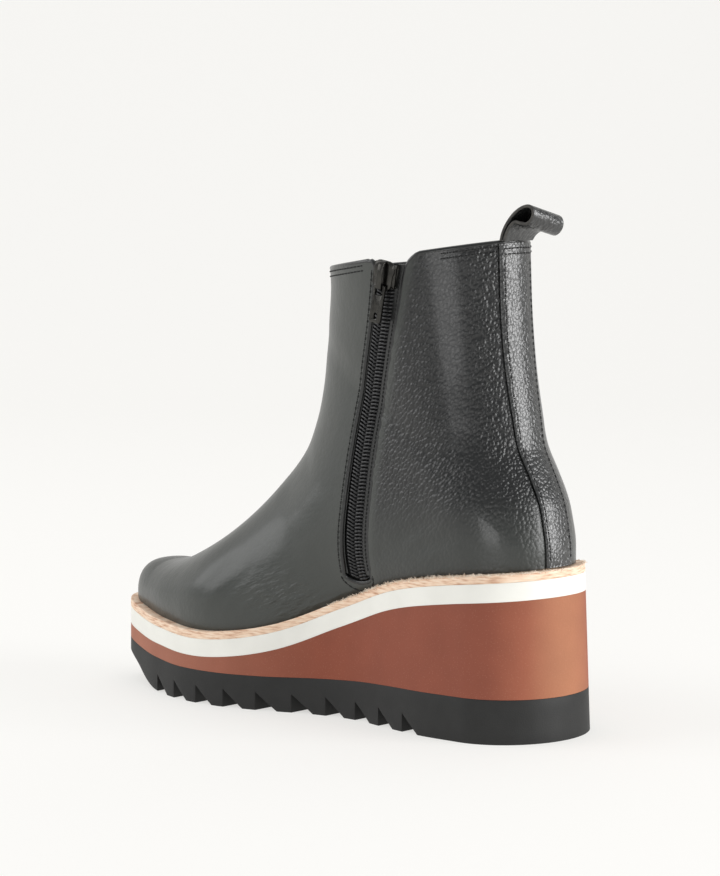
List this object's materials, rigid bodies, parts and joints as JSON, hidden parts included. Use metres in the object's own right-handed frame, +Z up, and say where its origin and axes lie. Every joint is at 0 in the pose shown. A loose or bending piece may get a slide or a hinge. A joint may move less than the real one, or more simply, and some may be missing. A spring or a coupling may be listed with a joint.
{
  "type": "wedge ankle boot",
  "caption": "Ankle boot with inner side zip, leather upper with back strip and pull loop, on a layered wedge sole with a notched outsole.",
  "frame": {"origin": "on the floor, under the middle of the heel, on the outsole's flat heel", "axes": "+Y towards the toe, +Z up, +X towards the outer side of the foot"},
  "size_m": [0.0946, 0.2677, 0.2315],
  "materials": {
    "outsole_rubber": "moulded, matt black",
    "wedge_foam": "moulded foam with a fine speckle, matt terracotta",
    "midsole_foam": "moulded foam, matt off-white",
    "welt_leather": "raw-edged natural tan",
    "lining_leather": "smooth natural lining leather",
    "upper_leather": "semi-gloss black, smooth in front and grained behind",
    "grained_leather": "semi-gloss black, pebble grain",
    "tape_cloth": "woven black zip tape",
    "zip_coil": "black nylon coil",
    "zip_metal": "gunmetal plating, polished"
  },
  "bodies": {
    "boot": {"outsole": "outsole_rubber", "wedge": "wedge_foam", "midsole": "midsole_foam", "welt": "welt_leather", "insole": "lining_leather", "upper": "upper_leather", "back_strip": "grained_leather", "pull_loop": "grained_leather", "zip_tape": "tape_cloth", "zip_chain": "zip_coil", "zip_slider": "zip_metal"},
    "pull": {"zip_pull": "zip_metal"}
  },
  "joints": [
    {"name": "pull_hinge", "type": "hinge", "parent": "boot", "child": "pull", "pos_m": [-0.03879, 0.03825, 0.19645], "axis": [-0.1317, 0.9701, 0.2039], "range_deg": [0, 125]}
  ]
}
